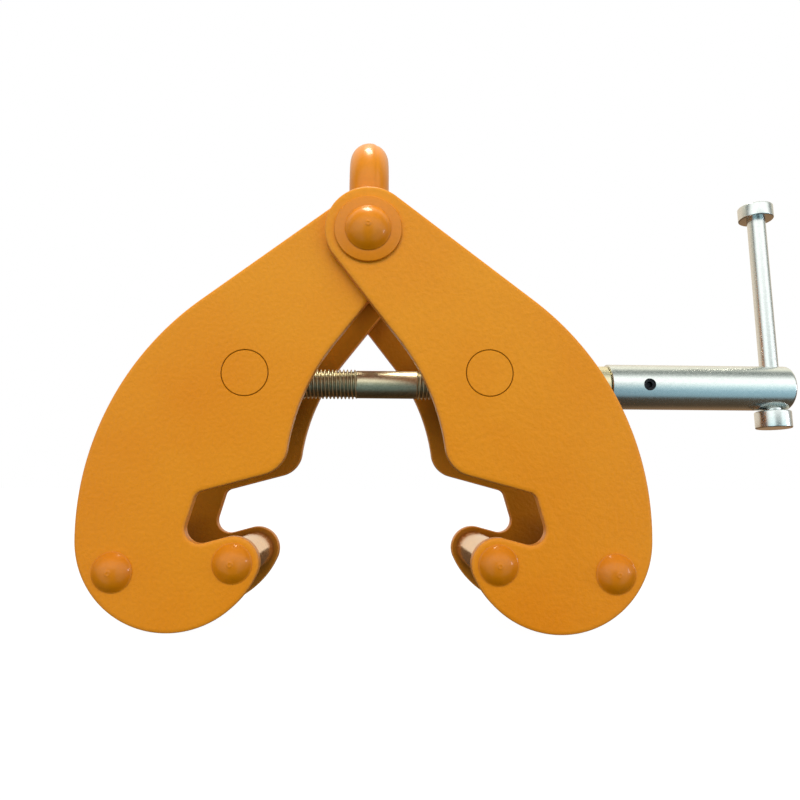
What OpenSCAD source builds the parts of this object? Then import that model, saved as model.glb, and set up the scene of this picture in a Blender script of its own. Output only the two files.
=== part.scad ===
// Screw-adjusted beam clamp, about 2 tonnes.
// Two pairs of jaw plates hang on one pivot pin. A spindle with threads of opposite
// hands runs through a trunnion nut in each jaw and draws the jaws together.
//
// Frame: origin at the middle of the bail's inner crown, where a hoist's hook bears.
// +X runs along the spindle towards its handle, +Y to the rear and +Z up.

/* [Jaw plates] */
// Thickness of one jaw plate
plate_t = 8; // [6:0.5:10]
// Overall depth over the outer pair of plates
plates_depth = 110; // [92:1:132]
// Running gap between an outer plate and the inner plate beside it
plate_gap = 0.4; // [0.3:0.1:1]
// Radius of the round top end
end_r = 27; // [25:0.5:30]
// How far the top end's centre lies outside the pivot
end_shift = 1; // [0:0.5:2]
// Slope of the straight outer edge, below level
outer_slope = 37.5; // [36:0.5:39]
// Slope of the straight inner edge, below level
inner_slope = 52.2; // [51:0.2:54]
// Radius of the long outer back
back_r = 172; // [160:1:185]
// Radius of the arch between the jaws
arch_r = 137; // [115:1:165]
// Radius of the corner where the arch meets the flange seat
belly_r = 18; // [12:1:22]
// Distance of that corner's innermost point from the middle of the clamp
belly_x = 47; // [39:0.5:56]

/* [Tail and nose] */
// Radius of the round tail
tail_r = 55; // [46:1:66]
// Distance of the tail's centre from the middle of the clamp
tail_x = 113.6; // [95:0.2:136]
// Depth of the tail's centre below the pivot
tail_drop = 184.4; // [170:0.2:221]
// Radius of the nose that reaches under a flange
nose_r = 15.5; // [13:0.5:18.5]
// Depth of the nose's centre below the tail's centre
nose_below_tail = 15.6; // [13:0.2:19]

/* [Flange slot] */
// Clear width of the slot that takes the beam's flange
slot_w = 30; // [25:1:36]
// Tilt of the slot with the jaws as drawn
slot_tilt = 15; // [12:1:18]
// Steepness of the slot's back wall
wall_slope = 74; // [70:1:78]
// Distance of the back wall from the nose's centre, square to the wall
slot_reach = 33.2; // [28:0.2:40]
// Radius of the slot's lower corner
slot_low_r = 9; // [6:0.5:10]
// Radius of the slot's upper corner
slot_high_r = 6; // [3:0.5:8]

/* [Pivot] */
// Diameter of the pivot pin
pin_d = 20; // [16:1:22]
// Diameter of the pin's domed heads
pin_head_d = 28; // [26:1:32]
// Height of the pin's domed heads
pin_head_h = 8; // [6:0.5:10]
// Diameter of the washers under the pin's heads
washer_d = 41; // [36:1:46]
// Thickness of the washers under the pin's heads
washer_t = 3; // [2:0.5:4]
// Wall of the spacer tube between the bail's eyes
pivot_spacer_wall = 5; // [3:0.5:7]
// Thickness of the shims beside the bail's eyes
shim_t = 0.8; // [0.5:0.1:1.2]
// Width of the shims' rims
shim_rim = 7; // [5:0.5:9]

/* [Bail] */
// Diameter of the bail's round bar
bail_bar_d = 26; // [22:1:31]
// Height of the bail's inner crown above the pivot
bail_inner_h = 53; // [44:1:70]
// Diameter of the eyes that turn on the pivot pin
bail_eye_d = 44; // [38:1:50]
// Width of each eye along the pin
bail_eye_t = 25; // [20:0.5:30]

/* [Spindle] */
// Distance of each trunnion from the middle of the clamp
trunnion_x = 73.5; // [68:0.5:78]
// Depth of the trunnions below the pivot
trunnion_drop = 87.5; // [84:0.5:92]
// Diameter of the trunnions in the jaw plates
trunnion_d = 28; // [26:1:32]
// Diameter of a trunnion nut between the plates
nut_d = 38; // [34:1:44]
// Outer diameter of the threads
thread_d = 20; // [18:0.5:20]
// Diameter of the plain spindle
shank_d = 18.6; // [17:0.2:19]
// Where the spindle's far end lies, to the left of the middle
spindle_left = 108; // [100:1:120]
// Where the left nut's thread ends, to the left of the middle
left_thread_end = 8; // [4:1:14]
// Where the right nut's thread starts, to the right of the middle
right_thread_start = 33; // [28:1:34]

/* [Handle] */
// Where the handle sleeve starts, to the right of the middle
sleeve_start = 162.5; // [160:0.5:180]
// Length of the handle sleeve
sleeve_len = 125.5; // [110:0.5:140]
// Diameter of the handle sleeve
sleeve_d = 30.5; // [28:0.5:34]
// How far the spindle reaches into the sleeve
socket_depth = 65.5; // [50:1:70]
// Distance of the set screw from the sleeve's start
set_screw_at = 24.5; // [15:1:35]
// Diameter of the set screw
set_screw_d = 8; // [6:1:10]
// Outer diameter of the loose stop ring beside the sleeve
ring_d = 28; // [25:0.5:30]
// Length of the loose stop ring
ring_len = 7.6; // [5:0.2:9]

/* [Tommy bar] */
// Diameter of the sliding cross bar
bar_d = 12; // [10:1:14]
// Distance of the cross bar from the sleeve's outer end
bar_inset = 10.6; // [10:0.2:14]
// Clear length of the bar between its end caps
bar_len = 139; // [120:1:160]
// Angle at which the bar is parked, turned rearwards from upright
bar_turn = 2.6; // [0:0.2:8]
// Diameter of the bar's end caps
cap_d = 23; // [20:1:26]
// Thickness of the upper cap
cap_top_t = 9.5; // [8:0.5:13]
// Thickness of the lower cap
cap_low_t = 11.5; // [8:0.5:13]

/* [Rivets and spacers] */
// Diameter of the rivets through the jaws
rivet_d = 14; // [10:1:16]
// Diameter of the rivets' domed heads
rivet_head_d = 23.5; // [21:0.5:26]
// Height of the rivets' domed heads
rivet_head_h = 6.5; // [5:0.5:8]
// Outer diameter of the nose spacers, on which the flange slides
nose_spacer_d = 24; // [20:1:27]
// Outer diameter of the tail spacers
tail_spacer_d = 22; // [19:1:30]
// Distance of the tail rivet inwards from the tail's round edge
tail_rivet_in = 16.6; // [14:0.2:20]
// Direction of the tail rivet from the tail's centre, below level
tail_rivet_dip = 32.4; // [27:0.2:39]

/* [Clearances] */
// Running clearance on the radius of every turning or sliding fit
run_clear = 0.05; // [0.03:0.01:0.1]
// Side clearance of the parts that turn between two plates
side_clear = 0.4; // [0.3:0.1:0.8]
// Side clearance on either side of the bail's shims
shim_clear = 0.15; // [0.1:0.05:0.3]

/* [Hidden] */

$fn = 96;
arc_step = 6;          // degrees between two points of an outline's arc
paint = "#d98c26";     // orange powder coat
zinc = "#c3c9c8";      // bright zinc plate
bronze = "#8a7c58";    // yellow passivated steel

// Faces of the plates, measured from the middle of the clamp along Y.
outer_face = plates_depth / 2;
outer_inside = outer_face - plate_t;
inner_face = outer_inside - plate_gap;
inner_inside = inner_face - plate_t;

spindle_z = -trunnion_drop;
sleeve_end = sleeve_start + sleeve_len;
bar_x = sleeve_end - bar_inset;
eye_side = inner_inside - shim_t - 2 * shim_clear;
eye_inside = eye_side - bail_eye_t;
bail_leg_y = (eye_side + eye_inside) / 2;
bail_inner_w = 2 * bail_leg_y - bail_bar_d;
cap_gap = 0.8;         // between the lower cap and the sleeve, with the bar pulled up
bar_low = -(sleeve_d / 2 + cap_gap);
bar_high = bar_low + bar_len;

// ---- Outline of a right-hand jaw plate, pivot at [0, 0], Y upwards ----

function unit(angle) = [cos(angle), sin(angle)];

// Points along an arc about c, from angle a0 to angle a1, either way round.
function arc(c, r, a0, a1) =
    let (n = max(2, ceil(abs(a1 - a0) / arc_step * max(1, sqrt(r / 40)))))
    [for (i = [0:n]) c + r * unit(a0 + (a1 - a0) * i / n)];

// The point whose offsets along the directions a and b are p and q.
function corner(a, p, b, q) =
    [p * sin(b) - q * sin(a), q * cos(a) - p * cos(b)] / sin(b - a);

// The point at offset p along direction a, and at distance d from c. side picks one of two.
function on_line(a, p, c, d, side) =
    let (across = p - c * unit(a))
    c + across * unit(a) + side * sqrt(d * d - across * across) * unit(a + 90);

// Direction of one point seen from another, counted in the turn that is nearest to near.
function heading(from, to, near) =
    let (a = atan2(to[1] - from[1], to[0] - from[0]))
    a + 360 * round((near - a) / 360);

// Normals of the straight edges.
outer_n = 90 - outer_slope;
inner_n = 270 - inner_slope;
slot_n = 90 - slot_tilt;
wall_n = 90 - wall_slope;

end_c = end_shift * unit(outer_n);
tail_c = [tail_x, -tail_drop];
nose_c = on_line(90, -tail_drop - nose_below_tail, tail_c, tail_r - nose_r, 1);
tail_rivet_c = tail_c + (tail_r - tail_rivet_in) * unit(-tail_rivet_dip);
back_c = on_line(outer_n, end_c * unit(outer_n) + end_r - back_r, tail_c, back_r - tail_r, 1);

slot_floor = nose_c * unit(slot_n) + nose_r;
slot_roof = slot_floor + slot_w;
slot_back = nose_c * unit(wall_n) + slot_reach;
low_c = corner(wall_n, slot_back - slot_low_r, slot_n, slot_floor + slot_low_r);
high_c = corner(wall_n, slot_back - slot_high_r, slot_n, slot_roof - slot_high_r);
belly_c = corner(slot_n, slot_roof + belly_r, 0, belly_x + belly_r);
arch_line = end_c * unit(inner_n) + end_r + arch_r;
arch_c = on_line(inner_n, arch_line, belly_c, arch_r + belly_r, -1);

back_to_tail = heading(back_c, tail_c, 0);
tail_to_nose = heading(tail_c, nose_c, -150);

JAW_OUTLINE = concat(
    arc(end_c, end_r, inner_n, outer_n),
    arc(back_c, back_r, outer_n, back_to_tail),
    arc(tail_c, tail_r, back_to_tail, tail_to_nose),
    arc(nose_c, nose_r, tail_to_nose, slot_n - 360),
    arc(low_c, slot_low_r, slot_n - 180, wall_n),
    arc(high_c, slot_high_r, wall_n, slot_n),
    arc(belly_c, belly_r, slot_n + 180, heading(belly_c, arch_c, 180)),
    arc(arch_c, arch_r, heading(arch_c, belly_c, 0), inner_n - 180)
);

// ---- Small shapes used by several parts ----

// Puts a part that is drawn about the pivot into the clamp's own frame.
module at_pivot() translate([0, 0, -bail_inner_h]) children();

// A cylinder along Y, from y0 to y1.
module along_y(d, y0, y1)
    translate([0, y0, 0]) rotate([-90, 0, 0]) cylinder(d = d, h = y1 - y0);

// A cylinder along X, from x0 to x1.
module along_x(d, x0, x1)
    translate([x0, 0, 0]) rotate([0, 90, 0]) cylinder(d = d, h = x1 - x0);

// A domed rivet head: a spherical cap of diameter d and height h, on its flat side.
module dome(d, h) {
    ball_r = (d * d / 4 + h * h) / (2 * h);
    intersection() {
        translate([0, 0, h - ball_r]) sphere(r = ball_r);
        cylinder(d = d + 1, h = h + 1);
    }
}

// A shank along Y with a domed head at either end, the heads bearing at y = -grip and +grip.
// The shank runs a little way into each head, so that the three make one solid.
module headed_pin(d, head_d, head_h, grip) {
    along_y(d, -grip - head_h / 4, grip + head_h / 4);
    for (side = [-1, 1])
        translate([0, side * grip, 0]) rotate([-side * 90, 0, 0]) dome(head_d, head_h);
}

module tube_y(d, bore, y0, y1) difference() {
    along_y(d, y0, y1);
    along_y(bore, y0 - 1, y1 + 1);
}

// The places of the jaw's cross pieces, on the right jaw.
module at_nose() translate([nose_c[0], 0, nose_c[1]]) children();
module at_tail() translate([tail_rivet_c[0], 0, tail_rivet_c[1]]) children();
module at_trunnion() translate([trunnion_x, 0, spindle_z]) children();

// Left-hand parts are the right-hand ones seen in a mirror.
module left() mirror([1, 0, 0]) children();

// ---- Jaws ----

// One jaw plate of the right jaw, its front face at y0.
module jaw_plate(y0) color(paint) difference() {
    translate([0, y0 + plate_t, 0]) rotate([90, 0, 0])
        linear_extrude(plate_t) polygon(JAW_OUTLINE);
    along_y(pin_d + 2 * run_clear, y0 - 1, y0 + plate_t + 1);
    at_trunnion() along_y(trunnion_d + 2 * run_clear, y0 - 1, y0 + plate_t + 1);
    at_nose() along_y(rivet_d, y0 - 1, y0 + plate_t + 1);
    at_tail() along_y(rivet_d, y0 - 1, y0 + plate_t + 1);
}

module left_front_plate() at_pivot() left() jaw_plate(-inner_face);
module left_rear_plate() at_pivot() left() jaw_plate(inner_inside);
module right_front_plate() at_pivot() jaw_plate(-outer_face);
module right_rear_plate() at_pivot() jaw_plate(outer_inside);

module nose_spacer(half) color("#e8c9a0") at_nose() tube_y(nose_spacer_d, rivet_d, -half, half);
module tail_spacer(half) color(paint) at_tail() tube_y(tail_spacer_d, rivet_d, -half, half);
module jaw_rivet(grip) color(paint) headed_pin(rivet_d, rivet_head_d, rivet_head_h, grip);

module left_nose_spacer() at_pivot() left() nose_spacer(inner_inside);
module left_tail_spacer() at_pivot() left() tail_spacer(inner_inside);
module right_nose_spacer() at_pivot() nose_spacer(outer_inside);
module right_tail_spacer() at_pivot() tail_spacer(outer_inside);
module left_nose_rivet() at_pivot() left() at_nose() jaw_rivet(inner_face);
module left_tail_rivet() at_pivot() left() at_tail() jaw_rivet(inner_face);
module right_nose_rivet() at_pivot() at_nose() jaw_rivet(outer_face);
module right_tail_rivet() at_pivot() at_tail() jaw_rivet(outer_face);

// ---- Pivot and bail ----

washer_in = outer_face + side_clear / 2;
washer_out = washer_in + washer_t;

module pivot_pin() at_pivot() color(paint) headed_pin(pin_d, pin_head_d, pin_head_h, washer_out);
module pivot_washer() color(paint) tube_y(washer_d, pin_d, washer_in, washer_out);
module pivot_washer_rear() at_pivot() pivot_washer();
module pivot_washer_front() at_pivot() mirror([0, 1, 0]) pivot_washer();

// Keeps the bail's two eyes apart.
module pivot_spacer() at_pivot() color(zinc)
    tube_y(pin_d + 2 * pivot_spacer_wall, pin_d, side_clear / 2 - eye_inside, eye_inside - side_clear / 2);

// Thin washers between the bail's eyes and the inner plates.
module pivot_shims() at_pivot() color(zinc)
    for (side = [0, 1]) mirror([0, side, 0])
        tube_y(pin_d + 2 * shim_rim, pin_d, eye_side + shim_clear, inner_inside - shim_clear);

// A U of round bar, each leg forged into a flat-sided eye on the pivot pin.
module bail() at_pivot() color(paint) difference() {
    bend_z = bail_inner_h - bail_inner_w / 2;
    union() {
        translate([0, 0, bend_z]) rotate([90, 0, 90])
            rotate_extrude(angle = 180) translate([bail_leg_y, 0]) circle(d = bail_bar_d);
        for (side = [-1, 1]) {
            translate([0, side * bail_leg_y, 0]) cylinder(d = bail_bar_d, h = bend_z);
            translate([0, side * bail_leg_y, 0]) along_y(bail_eye_d, -bail_eye_t / 2, bail_eye_t / 2);
        }
    }
    along_y(pin_d + 2 * run_clear, -eye_side - 1, eye_side + 1);
    // Flat sides of the eyes, outside and inside.
    for (side = [0, 1]) mirror([0, side, 0])
        translate([-bail_eye_d / 2, eye_side, -bail_eye_d / 2]) cube(bail_eye_d);
    translate([-bail_eye_d / 2, -eye_inside, -bail_eye_d / 2])
        cube([bail_eye_d, 2 * eye_inside, bail_eye_d]);
}

// ---- Spindle and its nuts ----

// A barrel nut: trunnions flush with the plates' outer faces, a thicker body between them.
module trunnion_nut(face, inside) color(paint) difference() {
    union() {
        along_y(trunnion_d, -face, face);
        along_y(nut_d, -inside + side_clear, inside - side_clear);
    }
    along_x(thread_d + 2 * run_clear, -nut_d, nut_d);
}

module left_nut() at_pivot() left() at_trunnion() trunnion_nut(inner_face, inner_inside);
module right_nut() at_pivot() at_trunnion() trunnion_nut(outer_face, outer_inside);

ring_start = sleeve_start - side_clear / 2 - ring_len;
right_thread_end = ring_start - side_clear / 2;
end_groove_w = 1.3;
end_groove_at = -spindle_left + 3;

module at_spindle() at_pivot() translate([0, 0, spindle_z]) children();

module spindle() at_spindle() color(bronze) difference() {
    union() {
        along_x(shank_d, -spindle_left, sleeve_start + socket_depth);
        along_x(thread_d, -spindle_left, -left_thread_end);
        along_x(thread_d, right_thread_start, right_thread_end);
    }
    // The groove for the end ring.
    difference() {
        along_x(thread_d + 2, end_groove_at, end_groove_at + end_groove_w);
        along_x(shank_d - 2, end_groove_at - 1, end_groove_at + end_groove_w + 1);
    }
}

// The retaining ring that keeps the left nut on the spindle.
module spindle_end_ring() at_spindle() color(zinc) difference() {
    along_x(thread_d + 6, end_groove_at, end_groove_at + end_groove_w);
    along_x(shank_d - 2, end_groove_at - 1, end_groove_at + end_groove_w + 1);
    translate([end_groove_at - 1, -2, 0]) cube([end_groove_w + 2, 4, thread_d]);
}

module stop_ring() at_spindle() color(bronze) difference() {
    along_x(ring_d, ring_start, ring_start + ring_len);
    along_x(shank_d + 2 * run_clear, ring_start - 1, ring_start + ring_len + 1);
}

// ---- Handle ----

module along_bar() translate([bar_x, 0, 0]) rotate([-bar_turn, 0, 0]) children();

module handle_sleeve() at_spindle() color(zinc) difference() {
    edge = 1;
    union() {
        along_x(sleeve_d, sleeve_start, sleeve_end - edge);
        translate([sleeve_end - edge, 0, 0]) rotate([0, 90, 0])
            cylinder(d1 = sleeve_d, d2 = sleeve_d - 2 * edge, h = edge);
    }
    along_x(shank_d, sleeve_start - 1, sleeve_start + socket_depth);
    along_bar() translate([0, 0, -sleeve_d]) cylinder(d = bar_d + 4 * run_clear, h = 2 * sleeve_d);
    // Countersinks where the bar comes out.
    for (up = [0, 180])
        along_bar() rotate([up, 0, 0]) translate([0, 0, sleeve_d / 2 - 1.5])
            cylinder(d1 = bar_d + 4 * run_clear, d2 = bar_d + 6, h = 2.5);
    translate([sleeve_start + set_screw_at, -sleeve_d, 0]) rotate([-90, 0, 0])
        cylinder(d = set_screw_d, h = sleeve_d);
}

// A grub screw with a hexagon socket, a little below the sleeve's surface.
module set_screw() at_spindle() color("#3b3b3b") {
    sunk = 1.2;
    socket_d = set_screw_d * 0.58;
    translate([sleeve_start + set_screw_at, -sleeve_d / 2 + sunk, 0]) rotate([-90, 0, 0]) difference() {
        cylinder(d = set_screw_d, h = (sleeve_d - shank_d) / 2 - sunk);
        translate([0, 0, -1]) cylinder(d = socket_d, h = 1 + 2.5, $fn = 6);
    }
}

module tommy_bar() at_spindle() along_bar() color(zinc)
    translate([0, 0, bar_low - cap_low_t]) cylinder(d = bar_d, h = bar_len + cap_low_t + cap_top_t);

module bar_cap(z0, t) at_spindle() along_bar() color(zinc) translate([0, 0, z0]) difference() {
    edge = 0.8;
    union() {
        cylinder(d1 = cap_d - 2 * edge, d2 = cap_d, h = edge);
        translate([0, 0, edge]) cylinder(d = cap_d, h = t - 2 * edge);
        translate([0, 0, t - edge]) cylinder(d1 = cap_d, d2 = cap_d - 2 * edge, h = edge);
    }
    translate([0, 0, -1]) cylinder(d = bar_d, h = t + 2);
}

module tommy_bar_top_cap() bar_cap(bar_high, cap_top_t);
module tommy_bar_low_cap() bar_cap(bar_low - cap_low_t, cap_low_t);

left_front_plate();
left_rear_plate();
right_front_plate();
right_rear_plate();
left_nose_spacer();
left_tail_spacer();
right_nose_spacer();
right_tail_spacer();
left_nose_rivet();
left_tail_rivet();
right_nose_rivet();
right_tail_rivet();
pivot_pin();
pivot_washer_front();
pivot_washer_rear();
pivot_spacer();
pivot_shims();
bail();
left_nut();
right_nut();
spindle();
spindle_end_ring();
stop_ring();
handle_sleeve();
set_screw();
tommy_bar();
tommy_bar_top_cap();
tommy_bar_low_cap();
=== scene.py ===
# %% [markdown]
# # A beam clamp, finished in Blender
# The clamp hangs a hoist from the lower flange of a steel beam. Two pairs of plate jaws turn on
# one pin, and a screw spindle with a T-handle draws them together.
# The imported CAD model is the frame: it says where every part is and how it moves. This lesson
# dresses that frame with coated plates, real threads and plated steel.

import bmesh
import bpy
import numpy as np
from mathutils import Matrix, Vector
from mathutils.geometry import delaunay_2d_cdt


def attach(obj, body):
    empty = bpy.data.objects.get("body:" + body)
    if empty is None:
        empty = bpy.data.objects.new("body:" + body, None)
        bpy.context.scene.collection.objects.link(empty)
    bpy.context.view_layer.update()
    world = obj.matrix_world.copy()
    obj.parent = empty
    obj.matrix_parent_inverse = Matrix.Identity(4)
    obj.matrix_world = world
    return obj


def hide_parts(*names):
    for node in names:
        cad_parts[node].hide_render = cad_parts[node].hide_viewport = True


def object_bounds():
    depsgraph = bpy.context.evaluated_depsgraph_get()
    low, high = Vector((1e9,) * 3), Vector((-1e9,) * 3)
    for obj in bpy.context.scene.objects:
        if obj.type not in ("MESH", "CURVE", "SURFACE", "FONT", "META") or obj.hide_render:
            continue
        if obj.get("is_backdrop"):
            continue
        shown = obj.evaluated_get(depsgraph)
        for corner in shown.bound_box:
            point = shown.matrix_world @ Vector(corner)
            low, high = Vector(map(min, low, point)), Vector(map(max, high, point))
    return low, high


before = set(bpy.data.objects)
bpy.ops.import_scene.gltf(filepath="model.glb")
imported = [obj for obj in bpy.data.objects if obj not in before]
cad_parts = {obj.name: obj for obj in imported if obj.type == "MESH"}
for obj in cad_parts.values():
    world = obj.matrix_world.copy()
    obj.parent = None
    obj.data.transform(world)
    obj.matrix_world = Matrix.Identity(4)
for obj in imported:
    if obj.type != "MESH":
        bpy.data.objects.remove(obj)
cad_low, cad_high = (list(corner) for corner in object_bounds())
MM = 0.001

# %% [markdown]
# ## The sizes that the pieces share
# All lengths are in millimetres here, as on a workshop drawing, and become metres when a mesh
# is made. Heights are below the pivot pin, which lies 53 mm under the middle of the bail's crown.

# %% Sizes
PIVOT = np.array([0.0, 0.0, -53.0])
PLATE_T = 8.0
OUTER_FACE, INNER_FACE = 55.0, 46.6  # the outer faces of the right pair and of the left pair
SIDES = ((1, "right", OUTER_FACE), (-1, "left", INNER_FACE))
NOSE_R, TAIL_R, END_R = 15.5, 55.0, 27.0
SPINDLE_Z = -87.5
TRUNNION = np.array([73.5, SPINDLE_Z])
TRUNNION_R, PIN_R, RIVET_R = 14.0, 10.0, 7.0
RUN_CLEAR = 0.05
TAU = 2 * np.pi
print("jaw plates' outer faces at y =", OUTER_FACE, "and", INNER_FACE, "mm")

# %% [markdown]
# ## One helper for meshes
# Nearly every piece is a sheet of points on a grid: rows along a path, columns round it. The
# helper numbers the quads of such a grid. Another puts points and faces into a mesh, and one
# closes its seams and turns its faces outwards. The last hangs it on its body of the frame.
# Modifiers on stock shapes could make many of these pieces, but a grid worked out from the
# drawing's own sizes has its points exactly where the curve is tight, and closes without gaps.

# %% Mesh helpers


def grid_quads(rows, cols, close_rows=False, close_cols=True):
    """Quads between neighbouring rows and columns: corner (i, j), (i, j+1), (i+1, j+1), (i+1, j)."""
    i = np.arange(rows if close_rows else rows - 1)
    j = np.arange(cols if close_cols else cols - 1)
    i, j = (a.ravel() for a in np.meshgrid(i, j, indexing="ij"))
    i2, j2 = (i + 1) % rows, (j + 1) % cols
    return np.stack([i * cols + j, i * cols + j2, i2 * cols + j2, i2 * cols + j], 1)


def place_object(name, data):
    """A new object of the scene, at the origin, that shows some data."""
    thing = bpy.data.objects.new(name, data)
    bpy.context.scene.collection.objects.link(thing)
    return thing


def raw_mesh(name, points, faces):
    """A mesh of points in millimetres from the pivot, and of faces that may differ in length."""
    mesh = bpy.data.meshes.new(name)
    mesh.from_pydata(((np.asarray(points) + PIVOT) * MM).tolist(), [], faces)
    return mesh


def close_up(mesh, seam=2e-6, thin=1e-7):
    """Merges points closer than seam metres, drops needle faces, and turns the rest outwards."""
    work = bmesh.new()
    work.from_mesh(mesh)
    bmesh.ops.remove_doubles(work, verts=work.verts, dist=seam)
    if thin:
        bmesh.ops.dissolve_degenerate(work, edges=work.edges, dist=thin)
    bmesh.ops.recalc_face_normals(work, faces=work.faces)
    crowded = sum(len(e.link_faces) != 2 for e in work.edges)
    work.to_mesh(mesh)
    work.free()
    return crowded


def make_piece(name, points, faces, body, nodes, finish, sharp=35):
    """A closed piece in the row frame. points are in millimetres from the pivot."""
    mesh = raw_mesh(name, points, faces if isinstance(faces, list) else faces.tolist())
    print(name, "open or crowded edges:", close_up(mesh))
    return hang_piece(name, mesh, body, nodes, finish, sharp)


def hang_piece(name, mesh, body, nodes, finish, sharp):
    """Shades a mesh smooth but for its sharp edges, and hangs it on a body in place of nodes."""
    mesh.shade_smooth()
    mesh.set_sharp_from_angle(angle=np.radians(sharp))
    piece = place_object(name, mesh)
    material, slot = finish
    mesh.materials.clear()
    mesh.materials.append(material)
    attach(piece, body)
    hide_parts(*nodes)
    print(f"{name}: {len(mesh.polygons)} faces on {body}")
    return piece


def grid_piece(name, points, body, nodes, finish, sharp, close_rows=False):
    """A closed piece whose points already lie on a grid of rows and columns."""
    quads = grid_quads(*points.shape[:2], close_rows=close_rows)
    return make_piece(name, points.reshape(-1, 3), quads, body, nodes, finish, sharp)


def turned(profile, axis, centre, segments=96):
    """A turned surface: each profile point (distance along the axis, radius) carried round it."""
    along, radius = np.asarray(profile, float).T
    angle = np.linspace(0, TAU, segments, endpoint=False)
    p = np.zeros((len(along), segments, 3))
    across = [k for k in range(3) if k != axis]
    p[..., axis] = along[:, None]
    p[..., across[0]] = radius[:, None] * np.cos(angle)
    p[..., across[1]] = radius[:, None] * np.sin(angle)
    return p + np.asarray(centre, float)


# %% [markdown]
# ## Colours and nodes
# Colours are written as the hex values that a paint maker gives, which are sRGB. Blender works
# in linear light, so one function turns them round. One small function adds a node.

# %% Colour and node helpers


def linear(code):
    """An sRGB hex colour as linear RGBA: c/12.92 below 0.04045, else ((c + 0.055) / 1.055) ** 2.4."""
    c = np.array([int(code[k : k + 2], 16) / 255 for k in (1, 3, 5)])
    c = np.where(c <= 0.04045, c / 12.92, ((c + 0.055) / 1.055) ** 2.4)
    return (*c.tolist(), 1.0)


def add(tree, kind, values=None, wires=None, **settings):
    """Adds a node, with its settings, its input values and its incoming wires."""
    node = tree.nodes.new(kind)
    for key, value in settings.items():
        setattr(node, key, value)
    for key, value in (values or {}).items():
        node.inputs[key].default_value = value
    for key, socket in (wires or {}).items():
        tree.links.new(socket, node.inputs[key])
    return node


def new_material(name):
    """An empty material with only its shader, its output and the object's own coordinates."""
    material = bpy.data.materials.new(name)
    material.use_nodes = True
    tree = material.node_tree
    tree.nodes.clear()
    shader = add(tree, "ShaderNodeBsdfPrincipled")
    add(tree, "ShaderNodeOutputMaterial", wires={"Surface": shader.outputs[0]})
    where = add(tree, "ShaderNodeTexCoord").outputs["Object"]
    return material, tree, shader, where


# %% [markdown]
# ## Orange powder coat
# The jaws, bail, rivets and pin wear a baked polyester powder coat. It is sprayed dry and melts
# into a skin about 0.1 mm thick, with a faint orange-peel ripple a millimetre or so across. A
# patchy base colour comes from the coat's uneven thickness, and a painted sheen makes it paler
# higher up. The plates and nuts also carry a painted light value: a painted highlight over the
# plates' rims, and painted shade in the bores, the crevices and on the inner faces.

# %% Powder coat


def powder_coat(name, light, deep, roughness, ripple, gloss):
    """Satin polyester: two close oranges mixed by slow patches and by a painted sheen that pales it high up,
    under a fine ripple.
    """
    material, tree, shader, where = new_material(name)
    # 14 patches a metre are some 70 mm each. The colour is also deeper low down and paler high up, a painted
    # sheen.
    patches = add(tree, "ShaderNodeTexNoise", {"Scale": 14.0, "Detail": 3.0}, {"Vector": where})
    part = add(tree, "ShaderNodeSeparateXYZ", wires={0: where})
    height = add(tree, "ShaderNodeMapRange",
                 {"From Min": -0.29, "From Max": -0.08, "To Min": -0.28, "To Max": 0.28},
                 {"Value": part.outputs["Z"]})
    patches_and_painted_sheen = add(tree, "ShaderNodeMath", wires={0: height.outputs[0], 1: patches.outputs[0]}, use_clamp=True)
    base = add(tree, "ShaderNodeMix", {"A": linear(deep), "B": linear(light)}, {"Factor": patches_and_painted_sheen.outputs[0]},
               data_type="RGBA")
    # The real peel is about 1 mm across. 430 grains a metre draw it at 2.3 mm, so that it shows.
    grains = add(tree, "ShaderNodeTexNoise", {"Scale": 430.0, "Detail": 2.0}, {"Vector": where})
    mottle = add(tree, "ShaderNodeMapRange", {"From Min": 0.3, "From Max": 0.7, "To Min": 0.97, "To Max": 1.03},
                 {"Value": grains.outputs[0]})
    spots = add(tree, "ShaderNodeVectorMath", wires={0: base.outputs["Result"], 1: mottle.outputs[0]},
                operation="MULTIPLY")
    # A positive value pales the coat, a painted highlight on the rims, and a negative one darkens it to brown,
    # painted shade in a crevice.
    edge = add(tree, "ShaderNodeAttribute", attribute_name="edge").outputs["Fac"]
    painted_rim_highlight = add(tree, "ShaderNodeMath", {1: 0.42}, {0: edge}, operation="MULTIPLY", use_clamp=True)
    pale = add(tree, "ShaderNodeMix", {"B": linear("#d9965a")},
               {"Factor": painted_rim_highlight.outputs[0], "A": spots.outputs[0]}, data_type="RGBA")
    painted_crevice_shade = add(tree, "ShaderNodeMath", {1: -0.9}, {0: edge}, operation="MULTIPLY", use_clamp=True)
    colour = add(tree, "ShaderNodeMix", {"B": linear("#3a1400")},
                 {"Factor": painted_crevice_shade.outputs[0], "A": pale.outputs["Result"]}, data_type="RGBA")
    dull = add(tree, "ShaderNodeMapRange", {"To Min": roughness - 0.05, "To Max": roughness + 0.07},
               {"Value": patches.outputs[0]})
    bump = add(tree, "ShaderNodeBump", {"Strength": ripple, "Distance": 0.0003}, {"Height": grains.outputs[0]})
    tree.links.new(colour.outputs["Result"], shader.inputs["Base Color"])
    tree.links.new(dull.outputs[0], shader.inputs["Roughness"])
    tree.links.new(bump.outputs[0], shader.inputs["Normal"])
    shader.inputs["Specular IOR Level"].default_value = 0.22
    shader.inputs["Coat Weight"].default_value = gloss
    shader.inputs["Coat Roughness"].default_value = 0.09
    print(name, "colours:", light, deep)
    return material, "orange_paint"


# The plates are satin: one even tone with hardly a highlight, and a soft grain at close range.
PLATE_COAT = powder_coat("powder_coat_plates", "#e69318", "#de7e00", 0.38, 1.0, 0.05)
# The bail, the pin and the rivets are smoother and wetter: a deeper orange with clear highlights.
GLOSS_COAT = powder_coat("powder_coat_forgings", "#de8404", "#cc7000", 0.32, 0.14, 0.28)
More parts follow.
